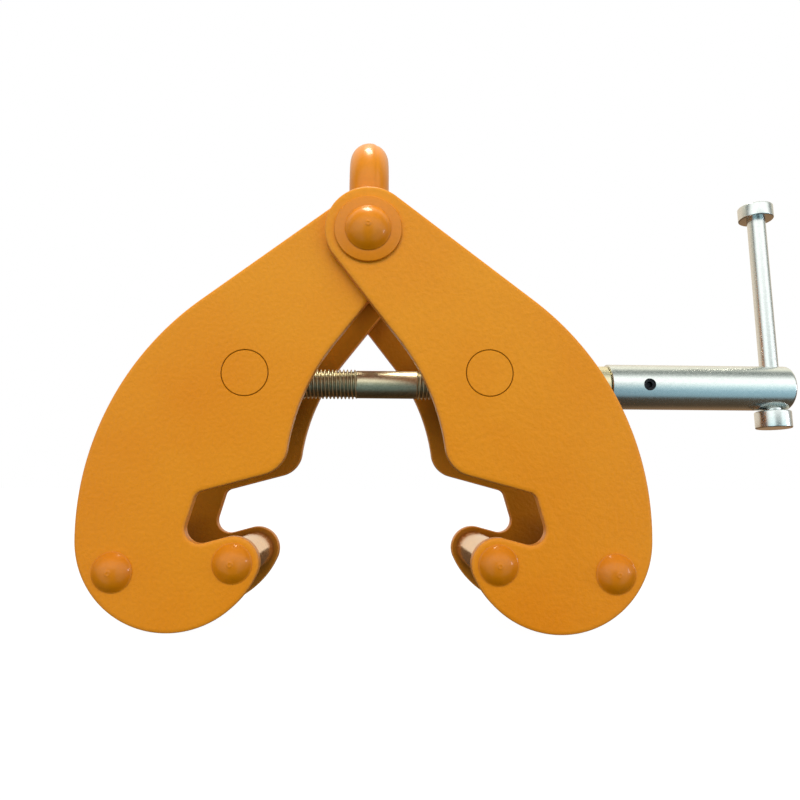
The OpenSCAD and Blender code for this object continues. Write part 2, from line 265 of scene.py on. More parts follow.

# %% [markdown]
# ## Plated and bare steels
# The handle is bright zinc: a bluish metal skin, mottled because each crystal of the steel
# beneath takes the plating a little differently. The spindle is yellow passivated, an olive
# gold, with painted shade in its thread roots. The nose spacers are turned bare steel, and the grub screw is
# black.

# %% Steel


def plated_steel(name, slot, light, dark, smooth, dull, grain, stretch=(1, 1, 1), depth=0.1):
    """Metal whose colour and roughness follow one mottled pattern; grain is its count a metre."""
    material, tree, shader, where = new_material(name)
    place = add(tree, "ShaderNodeMapping", {"Scale": stretch}, {"Vector": where})
    crystal = add(tree, "ShaderNodeTexNoise", {"Scale": grain, "Detail": 4.0, "Roughness": 0.65},
                  {"Vector": place.outputs[0]})
    spread = add(tree, "ShaderNodeMapRange", {"From Min": 0.35, "From Max": 0.65},
                 {"Value": crystal.outputs[0]})
    metal = add(tree, "ShaderNodeMix", {"A": linear(dark), "B": linear(light)}, {"Factor": spread.outputs[0]},
                data_type="RGBA")
    # A negative value darkens a thread's root with painted shade.
    edge = add(tree, "ShaderNodeAttribute", attribute_name="edge").outputs["Fac"]
    painted_crevice_shade = add(tree, "ShaderNodeMath", {1: -0.5}, {0: edge}, operation="MULTIPLY", use_clamp=True)
    colour = add(tree, "ShaderNodeMix", {"B": linear("#4a4228")},
                 {"Factor": painted_crevice_shade.outputs[0], "A": metal.outputs["Result"]}, data_type="RGBA")
    rough = add(tree, "ShaderNodeMapRange", {"To Min": smooth, "To Max": dull}, {"Value": spread.outputs[0]})
    bump = add(tree, "ShaderNodeBump", {"Strength": depth, "Distance": 0.0001}, {"Height": crystal.outputs[0]})
    for output, socket in ((colour.outputs["Result"], "Base Color"), (rough.outputs[0], "Roughness"),
                           (bump.outputs[0], "Normal")):
        tree.links.new(output, shader.inputs[socket])
    shader.inputs["Metallic"].default_value = 1.0
    print(name, "grain:", round(1000 / grain, 1), "mm")
    return material, slot


# Zinc crystals of about 1 mm. The skin is pale and fairly smooth, so it mirrors the room in bands.
ZINC = plated_steel("zinc_plated_steel", "zinc_plate", "#e6e8e5", "#d2d6d3", 0.22, 0.30, 900.0,
                    (0.6, 1, 1), 0.012)
# The yellow film is a little rougher: the bands blur, and the metal looks straw gold.
YELLOW = plated_steel("yellow_passivated_steel", "yellow_steel", "#ece2c2", "#d6caa4", 0.30, 0.42, 900.0,
                      (1, 1, 1), 0.02)
# Fine turning leaves a near mirror with faint long streaks. Its warm colour is a painted reflection of the
# orange plates round it.
SPACER = plated_steel("turned_spacer_steel", "spacer_steel", "#f6d2a4", "#e6bd8c", 0.12, 0.22, 500.0,
                      (1, 0.2, 1), 0.03)
# Black oxide keeps the metal's sheen but hardly any of its brightness.
BLACK = plated_steel("black_oxide_steel", "black_screw", "#3a3a3c", "#1c1c1e", 0.35, 0.5, 900.0)

# %% [markdown]
# ## The jaw's outline
# A jaw plate is cut from 8 mm steel along eight arcs that run smoothly into each other: the round
# end on the pin, the long back, the tail, the nose, two corners of the flange slot, the belly and
# the arch. Each arc's centre follows from the radii, so the outline has no loose points.

# %% Outline


def unit(degrees):
    """The direction at an angle above level."""
    return np.array([np.cos(np.radians(degrees)), np.sin(np.radians(degrees))])


def arc(centre, radius, start, stop, step=1.5):
    """Points along an arc, about every step degrees and closer on a large one."""
    n = max(4, int(np.ceil(abs(stop - start) / step * max(1, np.sqrt(radius / 40)))))
    t = np.radians(np.linspace(start, stop, n + 1))
    return np.asarray(centre) + radius * np.stack([np.cos(t), np.sin(t)], 1)


def corner(a, p, b, q):
    """The point that lies at offset p along direction a and at offset q along direction b."""
    a, b = np.radians(a), np.radians(b)
    return np.array([p * np.sin(b) - q * np.sin(a), q * np.cos(a) - p * np.cos(b)]) / np.sin(b - a)


def on_line(a, p, centre, distance, side):
    """The point at offset p along direction a that is a given distance from a centre."""
    across = p - centre @ unit(a)
    return centre + across * unit(a) + side * np.sqrt(distance**2 - across**2) * unit(a + 90)


def heading(start, end, near):
    """The direction from one point to another, in the turn nearest to near."""
    a = np.degrees(np.arctan2(end[1] - start[1], end[0] - start[0]))
    return a + 360 * np.round((near - a) / 360)


def jaw_outline():
    """The closed outline of a right-hand jaw plate, and the centres of its nose and tail rivets."""
    outer, inner, slot, wall = 52.5, 217.8, 75.0, 16.0
    back_r, arch_r, belly_r, low_r, high_r = 172.0, 137.0, 18.0, 9.0, 6.0
    end = 1.0 * unit(outer)
    tail = np.array([113.6, -184.4])
    nose = on_line(90, -200.0, tail, TAIL_R - NOSE_R, 1)
    back = on_line(outer, end @ unit(outer) + END_R - back_r, tail, back_r - TAIL_R, 1)
    floor = nose @ unit(slot) + NOSE_R
    roof = floor + 30.0
    rear = nose @ unit(wall) + 33.2
    low = corner(wall, rear - low_r, slot, floor + low_r)
    high = corner(wall, rear - high_r, slot, roof - high_r)
    belly = corner(slot, roof + belly_r, 0, 47.0 + belly_r)
    arch = on_line(inner, end @ unit(inner) + END_R + arch_r, belly, arch_r + belly_r, -1)
    to_tail, to_nose = heading(back, tail, 0), heading(tail, nose, -150)
    path = np.concatenate([
        arc(end, END_R, inner, outer),
        arc(back, back_r, outer, to_tail),
        arc(tail, TAIL_R, to_tail, to_nose),
        arc(nose, NOSE_R, to_nose, slot - 360),
        arc(low, low_r, slot - 180, wall),
        arc(high, high_r, wall, slot),
        arc(belly, belly_r, slot + 180, heading(belly, arch, 180)),
        arc(arch, arch_r, heading(arch, belly, 0), inner - 180),
    ])
    gap = np.linalg.norm(path - np.roll(path, 1, 0), axis=1)
    return path[gap > 1e-6], nose, tail + 38.4 * unit(-32.4)


def filled_in(path, longest=4.0):
    """The same closed path with its long straight runs divided."""
    after = np.roll(path, -1, 0)
    runs = np.maximum(1, np.ceil(np.linalg.norm(after - path, axis=1) / longest).astype(int))
    start = np.repeat(np.arange(len(path)), runs)
    step = (np.arange(len(start)) - np.repeat(np.cumsum(runs) - runs, runs)) / runs[start]
    return path[start] + (after - path)[start] * step[:, None]


JAW, NOSE, TAIL_RIVET = jaw_outline()
JAW = filled_in(JAW)
print("outline points:", len(JAW), "nose centre:", NOSE.round(2), "tail rivet:", TAIL_RIVET.round(2))

# %% [markdown]
# ## The coated plates
# Punching rolls the outer edge of a plate over, and the coat softens it more. The rim is a small
# profile carried along the outline: in from the edge, over the roll, down the wall and under.
# The flat faces are then filled with triangles round the bores. A chamfer round the trunnion's
# bore, darkened with painted shade, makes the fine dark ring that shows where the nut's end lies
# flush. The rim is painted paler, a painted highlight, and the inner face a little darker, painted shade.

# %% Coated plates


def inside(points, loop):
    """Which points lie in a closed loop: those whose level ray crosses it an odd number of times."""
    a, b = loop, np.roll(loop, -1, 0)
    x, y = points[:, :1], points[:, 1:]
    straddles = (a[:, 1] > y) != (b[:, 1] > y)
    rise = np.where(b[:, 1] == a[:, 1], 1e-12, b[:, 1] - a[:, 1])
    crosses = straddles & (x < a[:, 0] + (y - a[:, 1]) * (b[:, 0] - a[:, 0]) / rise)
    return crosses.sum(1) % 2 == 1


def flat_fill(loops):
    """Triangles between an outer loop and the loops of its holes, by constrained Delaunay."""
    points = np.concatenate(loops)
    own = [np.arange(len(loop)) for loop in loops]
    starts = np.cumsum([0] + [len(loop) for loop in loops])
    edges = np.concatenate([s + np.stack([k, np.roll(k, -1)], 1) for s, k in zip(starts, own)])
    only_inside = 1
    result = delaunay_2d_cdt(points.tolist(), edges.tolist(), [], only_inside, 1e-6)
    # The fill numbers its points anew, so each is led back to the first point it came from.
    faces = np.array([sources[0] for sources in result[3]])[np.array(result[2])]
    for hole in loops[1:]:
        faces = faces[~inside(points[faces].mean(1), hole)]
    return faces


def mark(piece, value_at):
    """Stores a painted light value on each vertex: 1 for a painted highlight, -1 for painted shade down in a
    crevice.
    """
    p = np.zeros(len(piece.data.vertices) * 3)
    piece.data.vertices.foreach_get("co", p)
    value = value_at(p.reshape(-1, 3) / MM - PIVOT)
    piece.data.attributes.new("edge", "FLOAT", "POINT").data.foreach_set("value", value.astype(np.float32))


def coated_plate(name, side, outer_y, body, node):
    """A jaw plate on one side (+1 right, -1 left), its rolled edge at outer_y."""
    path = JAW * [side, 1]
    if side < 0:
        path = path[::-1]
    step = np.roll(path, -1, 0) - np.roll(path, 1, 0)
    inward = np.stack([step[:, 1], -step[:, 0]], 1) / np.linalg.norm(step, axis=1)[:, None]
    if not inside(path[:1] + inward[:1], path)[0]:
        inward = -inward
    # The rim's profile: how far in from the edge, and how far under the outer face.
    t = np.linspace(0, np.pi / 2, 9)
    roll = np.stack([ROLL_IN * (1 - np.sin(t)), ROLL_DOWN * (1 - np.cos(t))], 1)
    under = np.stack([BURR * (1 - np.cos(t[::2])), PLATE_T - BURR * (1 - np.sin(t[::2]))], 1)
    rim = np.concatenate([roll, under])
    toward = -np.sign(outer_y)
    rings = path[None] + inward[None] * rim[:, 0][:, None, None]
    points = np.insert(rings, 1, (outer_y + toward * rim[:, 1])[:, None], axis=2)
    faces = [grid_quads(len(rim), len(path))]
    blocks, count = [points.reshape(-1, 3)], len(rim) * len(path)
    # The bores, each a chamfer, a wall and a chamfer.
    holes = [([0, 0], PIN_R + RUN_CLEAR, 0.2), (TRUNNION * [side, 1], TRUNNION_R + RUN_CLEAR, 0.45),
             (NOSE * [side, 1], RIVET_R, 0.1), (TAIL_RIVET * [side, 1], RIVET_R, 0.1)]
    tops, bottoms = [(rings[0], 0)], [(rings[-1], count - len(path))]
    angle = np.linspace(0, TAU, BORE_SIDES, endpoint=False)
    ring = np.stack([np.cos(angle), np.sin(angle)], 1)
    for centre, radius, chamfer in holes:
        wide = radius + chamfer
        shape = np.array([(wide, 0), (radius, chamfer), (radius, PLATE_T - chamfer), (wide, PLATE_T)])
        bore = np.asarray(centre) + shape[:, :1, None] * ring
        blocks.append(np.insert(bore, 1, (outer_y + toward * shape[:, 1])[:, None], axis=2).reshape(-1, 3))
        faces.append(grid_quads(len(shape), BORE_SIDES) + count)
        tops.append((bore[0], count))
        count += len(shape) * BORE_SIDES
        bottoms.append((bore[-1], count - BORE_SIDES))
    for group in (tops, bottoms):
        ids = np.concatenate([start + np.arange(len(loop)) for loop, start in group])
        faces.append(ids[flat_fill([loop for loop, _ in group])])
    faces = [face for block in faces for face in block.tolist()]
    piece = make_piece(name, np.concatenate(blocks), faces, body, [node], PLATE_COAT, sharp=30)
    piece.modifiers.new("flat_faces_stay_flat", "WEIGHTED_NORMAL").keep_sharp = True

    def plate_painted_light(p):
        """A painted highlight over the roll, painted shade a little dark on the inner face, and darkest in the
        bores.
        """
        depth = np.abs(p[:, 1] - outer_y)
        bores = np.zeros(len(p), bool)
        for centre, radius, chamfer in holes:
            bores |= np.hypot(p[:, 0] - centre[0], p[:, 2] - centre[1]) < radius + chamfer + 0.01
        rolled = np.clip(depth / ROLL_DOWN, 0, 1) ** 1.5
        return np.where(bores, -1.0 * (depth > 0.01), np.where(depth < PLATE_T - 0.01, rolled, -0.45))

    mark(piece, plate_painted_light)


ROLL_IN, ROLL_DOWN, BURR = 2.6, 1.15, 0.7
BORE_SIDES = 96
for side, name, face in SIDES:
    for place, sign in (("front", -1), ("rear", 1)):
        coated_plate(f"{name}_{place}_coated_plate", side, sign * face, f"{name}_jaw", f"{name}_{place}_plate")

# %% [markdown]
# ## Rivets and the pivot pin
# Each is a bar with a head set at either end by a domed die. The die leaves a small nub in the
# middle of the head, and the thick coat rounds the head's foot. One profile, turned about the
# bar's axis, gives the shank and both heads.

# %% Rivets and pin


def head_profile(shank_r, head_r, head_h, grip, nub_r, nub_h):
    """Half a headed bar from its middle outwards: a shank, a rounded foot, a sphere's cap and a nub."""
    ball = (head_r**2 + head_h**2) / (2 * head_h)
    r = np.concatenate([np.linspace(head_r, nub_r * 1.6, 22), np.linspace(nub_r * 1.5, 0, 14)])
    dome = grip + head_h - ball + np.sqrt(ball**2 - r**2)
    # The nub: a low ring with a dimple, the cosine of the distance from the ring's crest.
    ring = np.clip(1 - np.abs(r / nub_r - 0.62) / 0.55, 0, 1)
    dome = dome + nub_h * (0.5 - 0.5 * np.cos(np.pi * ring))
    dome = np.maximum(dome, grip + 0.5)
    foot = [(0, shank_r), (grip, shank_r), (grip, head_r - 0.25), (grip + 0.25, head_r)]
    return np.array(foot + list(zip(dome, r)))


def lumps(points, size, seed):
    """A smooth uneven skin: three crossed waves of a given size in millimetres."""
    turn = np.random.default_rng(seed).normal(size=(3, 3))
    turn /= np.linalg.norm(turn, axis=1)[:, None]
    return np.sin(points @ turn.T * TAU / size + np.arange(3)).sum(-1) / 3


def headed_bar(name, shank_r, head_r, head_h, grip, centre, body, node, nub_r, nub_h, seed):
    """A shank with a head at either end, its domes a little uneven under the coat."""
    half = head_profile(shank_r, head_r, head_h, grip, nub_r, nub_h)
    profile = np.concatenate([(half * [-1, 1])[::-1], half[1:]])
    points = turned(profile, 1, [0, 0, 0])
    raised = np.clip((np.abs(points[..., 1]) - grip - 0.6) / 2, 0, 1)
    away = np.linalg.norm(points[..., [0, 2]], axis=-1, keepdims=True)
    dent = 0.10 * raised * (0.5 + 0.5 * lumps(points, 9.0, seed))
    points[..., [0, 2]] *= 1 - dent[..., None] / np.maximum(away, 2)
    points[..., 1] -= np.sign(points[..., 1]) * 0.10 * raised * (0.5 + 0.5 * lumps(points, 6.0, seed + 9))
    points += [centre[0], 0, centre[1]]
    return grid_piece(name, points, body, [node], GLOSS_COAT, 60)


for side, name, face in SIDES:
    for k, (spot, centre) in enumerate((("nose", NOSE), ("tail", TAIL_RIVET))):
        headed_bar(f"{name}_{spot}_set_rivet", RIVET_R, 11.75, 6.5, face, centre * [side, 1], f"{name}_jaw",
                   f"{name}_{spot}_rivet", 2.0, 0.18, 4 * k + side + 1)
headed_bar("pivot_pin_set", PIN_R, 14.0, 8.0, 58.2, [0, 0], "pivot", "pivot_pin", 2.0, 0.35, 21)

# %% [markdown]
# ## Washers
# The washers under the pin's heads are turned a little conical, so that they lie flat when the
# heads are set. That slight cone is what makes their two sides catch the light.

# %% Washers
for name, sign in (("front", -1), ("rear", 1)):
    shape = [(55.2, 10.0), (55.2, 20.0), (55.6, 20.5), (56.9, 20.5),
             (57.35, 20.2), (57.55, 19.5), (58.2, 14.0), (58.2, 10.0)]
    points = turned(np.array(shape) * [sign, 1], 1, [0, 0, 0], 128)
    grid_piece(f"pivot_washer_{name}_turned", points, "pivot", [f"pivot_washer_{name}"], GLOSS_COAT, 25, True)

# %% [markdown]
# ## Spacers
# Round tubes keep each pair of plates apart. Those at the noses are bright, because the beam's
# flange slides on them.

# %% Spacers
for side, name, face in SIDES:
    half = face - PLATE_T
    for spot, centre, radius, finish in (("nose", NOSE, 12.0, SPACER), ("tail", TAIL_RIVET, 11.0, GLOSS_COAT)):
        shape = [(-half, RIVET_R), (-half, radius - 0.3), (0.3 - half, radius),
                 (half - 0.3, radius), (half, radius - 0.3), (half, RIVET_R)]
        points = turned(shape, 1, [centre[0] * side, 0, centre[1]])
        grid_piece(f"{name}_{spot}_tube", points, f"{name}_jaw", [f"{name}_{spot}_spacer"], finish, 25, True)

# %% [markdown]
# ## Cutting a bore
# Some pieces have a hole across them that no turned or swept surface gives. There a cutter is
# subtracted, and the result is kept as a plain mesh.

# %% Boolean helper


def cut(piece, points):
    """Subtracts a turned cutter, a grid of points in millimetres from the pivot, and keeps the result."""
    mesh = raw_mesh("cutter", points.reshape(-1, 3), grid_quads(*points.shape[:2]).tolist())
    close_up(mesh, thin=None)
    cutter = place_object("cutter", mesh)
    modifier = piece.modifiers.new("bore", "BOOLEAN")
    modifier.operation, modifier.solver, modifier.object = "DIFFERENCE", "EXACT", cutter
    bpy.context.view_layer.update()
    result = bpy.data.meshes.new_from_object(piece.evaluated_get(bpy.context.evaluated_depsgraph_get()))
    piece.modifiers.clear()
    piece.data = result
    bpy.data.objects.remove(cutter)
    result.shade_smooth()
    result.set_sharp_from_angle(angle=np.radians(35))


def bore_tool(reach, axis, centre):
    """A cutter for a 20 mm bore with its running clearance, along an axis through a centre."""
    bore_r = PIN_R + RUN_CLEAR
    return turned([(-reach, 0), (-reach, bore_r), (reach, bore_r), (reach, 0)], axis, centre)


# %% [markdown]
# ## Trunnion nuts
# A barrel nut has a thick middle and two trunnions that turn in the jaw's plates. Their ends are
# coated with the jaws, with a small chamfer against the plate's own. A ring of painted shade
# darkens the chamfer where it meets the crevice.

# %% Trunnion nuts
CHAMFER = 0.45


def chamfer_painted_shade(p, centre, face):
    """-1, painted shade, on the ring where the trunnion's end chamfer begins, which lies in the crevice, else
    0.
    """
    at_depth = np.abs(np.abs(p[:, 1]) - face + CHAMFER) < 0.1
    at_rim = np.hypot(p[:, 0] - centre[0], p[:, 2] - centre[2]) > TRUNNION_R - 0.3
    return -1.0 * (at_depth & at_rim)


for side, name, face in SIDES:
    inner = face - PLATE_T - 0.4
    half = np.array([(inner - 0.5, 19.0), (inner, 18.5), (inner, TRUNNION_R), (face - CHAMFER, TRUNNION_R),
                     (face, TRUNNION_R - CHAMFER), (face, 0.0)])
    profile = np.concatenate([(half * [-1, 1])[::-1], half])
    centre = [TRUNNION[0] * side, 0, TRUNNION[1]]
    points = turned(profile, 1, centre)
    nut = grid_piece(f"{name}_barrel_nut", points, f"{name}_nut", [f"{name}_nut"], PLATE_COAT, 30)
    cut(nut, bore_tool(25, 0, centre))
    mark(nut, lambda p: chamfer_painted_shade(p, centre, face))

# %% [markdown]
# ## The bail
# The bail is a forged U of 26 mm bar. Its section is round over the crown and swells into a
# flat-sided eye at each end. The section is carried along the U as a rounded oblong whose two
# half widths and squareness change on the way. A parting line runs along one side, where the two
# halves of the forging die met a little out of step.

# %% Bail


def bail_path(n_leg=60, n_bend=56):
    """Stations from one eye's foot, up the leg, over the bend and down: place, outward way, height."""
    leg_z = np.concatenate([-22 * np.cos(np.linspace(0, np.pi / 2, 26)), np.linspace(0, 41, n_leg)[1:]])
    turn = np.linspace(np.pi, 0, n_bend)[1:-1]
    y = np.concatenate([np.full(len(leg_z), -25.0), 25 * np.cos(turn), np.full(len(leg_z), 25.0)])
    z = np.concatenate([leg_z, 41 + 25 * np.sin(turn), leg_z[::-1]])
    out_y = np.concatenate([np.full(len(leg_z), -1.0), np.cos(turn), np.full(len(leg_z), 1.0)])
    out_z = np.concatenate([np.zeros(len(leg_z)), np.sin(turn), np.zeros(len(leg_z))])
    return y, z, out_y, out_z, np.concatenate([leg_z, np.full(len(turn), 41.0), leg_z[::-1]])


def bail_mesh(cols=96):
    """Half width a across and b outwards; section |x/a|^m + |n/b|^m = 1, with m from 2 to 9."""
    y, z, out_y, out_z, height = bail_path()
    circle = np.sqrt(np.clip(22.0**2 - height**2, 0, None))
    a = np.where(height > 0, 13 + 0.9 * np.log1p(np.exp((circle - 13) / 0.9)), circle)
    eye = np.clip((32 - height) / 16, 0, 1)
    eye = eye * eye * (3 - 2 * eye)
    b, m = 13 - 0.5 * eye, 2 + 7 * eye
    t = np.linspace(0, TAU, cols, endpoint=False)
    # Angle t is 0 along +X and a quarter turn outwards, so the line at 70 degrees is off the middle.
    off = (t - np.radians(68)) / np.radians(3)
    step = 1 - 0.012 / (1 + np.exp(np.clip(off, -30, 30))) * (np.cos(t) > -0.2) - 0.030 * np.exp(-(off**2) / 2)
    c, s = np.cos(t)[None], np.sin(t)[None]
    p = 2 / m[:, None]
    across = a[:, None] * np.sign(c) * np.abs(c) ** p
    outward = b[:, None] * np.sign(s) * np.abs(s) ** p
    depth = (1 - eye)[:, None] * (step[None] - 1) + 1
    across, outward = across * depth, outward * depth
    return np.stack([across, y[:, None] + outward * out_y[:, None], z[:, None] + outward * out_z[:, None]], -1)


bail = grid_piece("forged_bail", bail_mesh(), "bail", ["bail"], GLOSS_COAT, 35)
cut(bail, bore_tool(45, 1, [0, 0, 0]))

# %% [markdown]
# ## The spindle
# The spindle's radius is one function of the place along it and the angle round it: a plain
# shank, and two rolled M20 threads of 2.5 mm pitch and opposite hands. Along a thread, moving one
# pitch and turning once come to the same, so the profile reads the sum of the two.

# %% Spindle


def thread_height(x, angle, hand, crest_at):
    """0 at the root to 1 at the crest, with flats of a quarter and an eighth of the pitch."""
    turns = (x - crest_at) / PITCH - hand * angle / TAU
    wave = np.abs(2 * (turns - np.floor(turns)) - 1)
    flank = np.clip((wave - 0.25) / 0.625, 0, 1)
    return flank * flank * (3 - 2 * flank)


def spindle_radius(x, angle):
    """Shank, threads that fade into it over a turn, a groove for the end ring and chamfered ends."""
    root, crest, shank = 8.47, 10.0, 9.3
    radius = np.full_like(x, shank)
    for start, stop, fade, hand, crest_at in THREADS:
        inner = stop if fade < 0 else start
        full = np.clip((x - inner) * fade / 1.9 + 0.2, 0, 1)
        thread = root + (crest - root) * thread_height(x, angle, hand, crest_at)
        within = (x >= start) & (x <= stop)
        radius = np.where(within, shank + (thread - shank) * full, radius)
    radius = np.where(np.abs(x + 104.35) < 0.66, 8.3, radius)
    ends = np.minimum(x - ROD_START, ROD_END - x)
    return np.minimum(radius, 8.6 + 1.5 * np.clip(ends, 0, 2))


def thread_root_shade(p):
    """-1, painted shade, at a thread's root, rising to 0 at its crest and along the plain shank."""
    depth = 9.9 - np.hypot(p[:, 1], p[:, 2] - SPINDLE_Z)
    threaded = (p[:, 0] < THREADS[0][1]) | (p[:, 0] > THREADS[1][0])
    return -np.clip(depth, 0, 1) * threaded


PITCH, ROD_START, ROD_END = 2.5, -108.0, 228.0
# Each thread: its start and stop along the spindle, where it fades (-1 at its stop), hand, a crest.
THREADS = ((ROD_START, -7.0, -1, 1, -9.2), (33.0, 154.6, 1, -1, 36.2))
rows = np.concatenate([np.arange(ROD_START, -5.9, 0.2), np.linspace(-5.6, 31.8, 12),
                       np.arange(32.0, 155.4, 0.2), np.linspace(156.0, ROD_END, 14)])
x, t = np.meshgrid(rows, np.linspace(0, TAU, 56, endpoint=False), indexing="ij")
r = spindle_radius(x, t)
# The angle runs from the rear (+Y) up and over, by the right-hand rule about +X.
points = np.stack([x, r * np.cos(t), r * np.sin(t) + SPINDLE_Z], -1)
# A row of one repeated point at each end closes the rod once the seams are merged.
middle = np.zeros((1, 56, 3)) + [0, 0, SPINDLE_Z]
points = np.concatenate([middle + [ROD_START, 0, 0], points, middle + [ROD_END, 0, 0]])
mark(grid_piece("threaded_spindle", points, "spindle", ["spindle"], YELLOW, 70), thread_root_shade)

# %% [markdown]
# ## The stop ring
# A loose turned ring keeps the handle's sleeve off the jaw's nut. It has chamfered rims.

# %% Stop ring
shape = [(154.7, 9.35), (154.7, 13.2), (155.5, 14.0), (161.5, 14.0), (162.3, 13.2), (162.3, 9.35)]
points = turned(shape, 0, [0, 0, SPINDLE_Z])
grid_piece("stop_ring_turned", points, "stop_ring", ["stop_ring"], YELLOW, 25, True)

# %% [markdown]
# ## The handle
# The sleeve is turned from bar, drilled for the spindle, and cross-drilled for the sliding bar and
# the grub screw. The bar leans a little, so its pieces are turned about Z first and then tilted
# about the spindle. The caps' corners are rounded by the die, which gives them soft highlights.

# %% Handle


def leaning(profile, segments=96):
    """A surface turned about Z, tilted by 2.6 degrees about X and moved to the cross bar's place."""
    p, lean = turned(profile, 2, [0, 0, 0], segments), np.radians(2.6)
    y = p[..., 1] * np.cos(lean) + p[..., 2] * np.sin(lean)
    z = p[..., 2] * np.cos(lean) - p[..., 1] * np.sin(lean)
    return np.stack([p[..., 0] + BAR_X, y, z + SPINDLE_Z], -1)


def rounded(corner_along, corner_radius, along_sign, round_along, round_radius, count=8):
    """A quarter ellipse round a turned piece's outer corner, from its side to its end."""
    t = np.linspace(0, np.pi / 2, count)
    along = corner_along - along_sign * round_along * (1 - np.sin(t))
    return list(zip(along, corner_radius - round_radius * (1 - np.cos(t))))


BAR_X, BAR_R, CAP_R = 277.4, 6.0, 11.5
SLEEVE_R, SLEEVE_START, SLEEVE_END, SOCKET_R = 15.25, 162.5, 288.0, 9.35
BAR_LOW, BAR_HIGH = -27.0, 132.0
sleeve = [(SLEEVE_START, SOCKET_R), (SLEEVE_START, SLEEVE_R - 0.35), (SLEEVE_START + 0.35, SLEEVE_R),
          *np.stack([np.linspace(164, 284, 24), np.full(24, SLEEVE_R)], 1),
          *rounded(SLEEVE_END, SLEEVE_R, 1, 2.6, 3.4, 10), (SLEEVE_END, 0), (ROD_END, 0), (ROD_END, SOCKET_R)]
points = turned(sleeve, 0, [0, 0, SPINDLE_Z], 128)
handle = grid_piece("turned_handle_sleeve", points, "spindle", ["handle_sleeve"], ZINC, 30, True)
cut(handle, leaning([(-25, 0), (-25, BAR_R + 0.1), (25, BAR_R + 0.1), (25, 0)], 64))
cut(handle, turned([(-18, 0), (-18, 4.05), (-9, 4.05), (-9, 0)], 1, [187.0, 0, SPINDLE_Z], 64))

side_line = np.stack([np.linspace(BAR_LOW, BAR_HIGH, 40), np.full(40, BAR_R)], 1)
points = leaning([(BAR_LOW, 0), *side_line, (BAR_HIGH, 0)])
grid_piece("sliding_cross_bar", points, "tommy_bar", ["tommy_bar"], ZINC, 40)
for node, low, high in (("tommy_bar_top_cap", 122.95, 132.45), ("tommy_bar_low_cap", -27.55, -16.05)):
    foot = rounded(low, CAP_R, -1, 0.7, 0.8)[::-1]
    profile = [(low, 0), *foot, *rounded(high, CAP_R, 1, 0.7, 0.8), (high, 0)]
    grid_piece(f"{node}_pressed", leaning(profile), "tommy_bar", [node], ZINC, 30)

# %% [markdown]
# ## The small parts, shaded smoothly
# The hidden spacer, shims and end ring and the little grub screw already have their real shape in
# the CAD model. They come as loose triangles, so a copy of each is closed and shaded smoothly.

# %% Smooth copies


def smooth_copy(node, body, finish):
    """A closed copy of a CAD node, with smooth curves and sharp corners."""
    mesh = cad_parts[node].data.copy()
    if "custom_normal" in mesh.attributes:
        mesh.attributes.remove(mesh.attributes["custom_normal"])
    print(node, "open or crowded edges:", close_up(mesh, 1e-6, None))
    hang_piece(f"{node}_finished", mesh, body, [node], finish, 30)


smooth_copy("spindle_end_ring", "spindle", ZINC)
smooth_copy("set_screw", "spindle", BLACK)
for node in ("pivot_spacer", "pivot_shims"):
    smooth_copy(node, "pivot", ZINC)

# %% [markdown]
# ## The room's light
# Plated steel has hardly a colour of its own: it shows the room. The light comes mostly from a
# broad pale window in front and above, with a lamp overhead and a dark brown bench below, and
# these give the bands on the handle. Panels could be set up for each band, but the bands lie
# along one axis, so the room is simply a colour for each angle about the spindle: 0 level in
# front, a quarter turn overhead.

# %% Room


